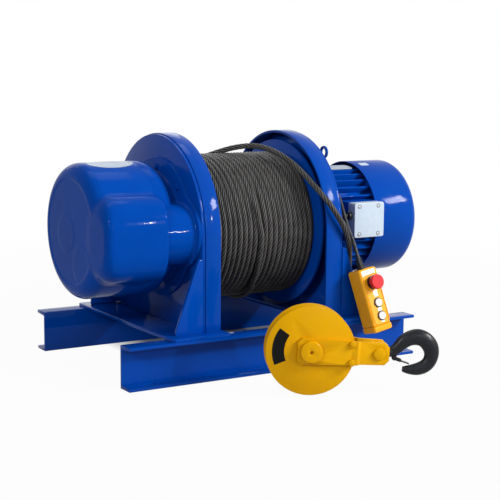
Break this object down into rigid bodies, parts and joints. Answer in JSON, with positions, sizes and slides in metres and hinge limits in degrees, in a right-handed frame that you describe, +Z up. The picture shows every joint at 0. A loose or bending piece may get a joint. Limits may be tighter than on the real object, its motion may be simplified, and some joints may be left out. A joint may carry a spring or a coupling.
{
  "type": "electric winch",
  "caption": "Electric rope winch on a channel base with gearbox, braked motor, wound drum, pendant switch and hook block.",
  "frame": {"origin": "centre of the four floor bolts, on the floor under the two base channels", "axes": "+X along the drum shaft towards the motor, -Y towards the front with the pendant and hook block, +Z up"},
  "size_m": [0.935, 0.8602, 0.5586],
  "materials": {
    "blue_paint": "gloss",
    "yellow_paint": "gloss",
    "machined_steel": "satin",
    "black_steel": "satin",
    "rope_steel": "satin",
    "zinc_steel": "satin",
    "grey_plastic": "matte",
    "yellow_plastic": "satin",
    "red_plastic": "gloss",
    "white_plastic": "gloss",
    "black_rubber": "matte",
    "copper_winding": "satin",
    "black_plastic": "matte",
    "friction_lining": "matte"
  },
  "bodies": {
    "frame": {"beam_front": "blue_paint", "beam_rear": "blue_paint", "base_plates": "blue_paint", "end_plates": "blue_paint", "guard_strips": "blue_paint", "gussets": "blue_paint", "gearbox_housing": "blue_paint", "gearbox_lid": "blue_paint", "gearbox_inner_plate": "machined_steel", "flange_screws": "zinc_steel", "bearing_hubs": "blue_paint", "drum_bearings": "machined_steel", "gearbox_bearings": "machined_steel", "motor_frame": "blue_paint", "motor_front_shield": "blue_paint", "motor_rear_shield": "blue_paint", "motor_bearings": "machined_steel", "stator": "copper_winding", "brake_magnet": "black_steel", "fan_cover": "blue_paint", "lifting_eye": "blue_paint", "terminal_box": "grey_plastic", "terminal_lid": "grey_plastic", "cable_gland": "black_plastic", "pendant_shell": "yellow_plastic", "pendant_face": "yellow_plastic", "pendant_boot": "black_rubber", "pendant_cable": "black_rubber", "cable_coil": "black_rubber", "cable_to_box": "black_rubber", "cable_clip": "zinc_steel", "support_wire": "zinc_steel", "rope_tail": "rope_steel", "block_covers": "yellow_paint", "block_straps": "yellow_paint", "block_pin": "yellow_paint", "tie_bolts": "zinc_steel", "crosshead": "yellow_paint"},
    "drum": {"drum_barrel": "blue_paint", "drum_head_left": "blue_paint", "drum_head_right": "blue_paint", "rope_pack": "rope_steel", "output_gear": "machined_steel"},
    "rotor": {"input_shaft": "machined_steel", "rotor_core": "machined_steel", "fan": "black_plastic", "brake_disc": "friction_lining"},
    "intermediate": {"intermediate_shaft": "machined_steel", "intermediate_gear": "machined_steel"},
    "lay": {"lay_shaft": "machined_steel", "lay_gear": "machined_steel"},
    "armature": {"brake_armature": "machined_steel"},
    "sheave_wheel": {"sheave": "black_steel"},
    "hook_swivel_body": {"hook": "black_steel", "hook_nut": "machined_steel"},
    "latch_body": {"latch": "zinc_steel"},
    "stop_push": {"stop_button": "red_plastic"},
    "up_push": {"up_button": "white_plastic"},
    "down_push": {"down_button": "white_plastic"}
  },
  "joints": [
    {"name": "drum_spin", "type": "hinge", "parent": "frame", "child": "drum", "pos_m": [0, 0, 0.325], "axis": [1, 0, 0], "continuous": true},
    {"name": "lay_spin", "type": "hinge", "parent": "frame", "child": "lay", "pos_m": [0, -0.14666, 0.335], "axis": [1, 0, 0], "continuous": true},
    {"name": "intermediate_spin", "type": "hinge", "parent": "frame", "child": "intermediate", "pos_m": [0, -0.07698, 0.37629], "axis": [1, 0, 0], "continuous": true},
    {"name": "rotor_spin", "type": "hinge", "parent": "frame", "child": "rotor", "pos_m": [0, 0, 0.325], "axis": [1, 0, 0], "continuous": true},
    {"name": "brake_release", "type": "slide", "parent": "frame", "child": "armature", "axis": [1, 0, 0], "range_m": [0, 0.0008], "stiffness_N_per_m": 20000, "springref_m": -0.002},
    {"name": "sheave_spin", "type": "hinge", "parent": "frame", "child": "sheave_wheel", "pos_m": [-0.0536, -0.461, 0.1], "axis": [0.4384, 0.8988, 0], "continuous": true},
    {"name": "hook_turn", "type": "hinge", "parent": "frame", "child": "hook_swivel_body", "pos_m": [-0.0536, -0.461, 0.1], "axis": [0.8972, -0.4376, -0.0593], "continuous": true},
    {"name": "latch_swing", "type": "hinge", "parent": "hook_swivel_body", "child": "latch_body", "pos_m": [0.11847, -0.54493, 0.0766], "axis": [-0.4384, -0.8988, 0], "range_deg": [0, 34], "stiffness_Nm_per_rad": 0.05, "springref_deg": -28.65},
    {"name": "stop_press", "type": "slide", "parent": "frame", "child": "stop_push", "axis": [0.0152, 0.9706, -0.2402], "range_m": [0, 0.0045]},
    {"name": "up_press", "type": "slide", "parent": "frame", "child": "up_push", "axis": [0.0152, 0.9706, -0.2402], "range_m": [0, 0.0035], "stiffness_N_per_m": 800, "springref_m": -0.002},
    {"name": "down_press", "type": "slide", "parent": "frame", "child": "down_push", "axis": [0.0152, 0.9706, -0.2402], "range_m": [0, 0.0035], "stiffness_N_per_m": 800, "springref_m": -0.002}
  ],
  "couplings": [
    {"joint": "lay_spin", "follows": "drum_spin", "ratio": -3.6667},
    {"joint": "intermediate_spin", "follows": "drum_spin", "ratio": 11.564},
    {"joint": "rotor_spin", "follows": "drum_spin", "ratio": -49.56}
  ]
}
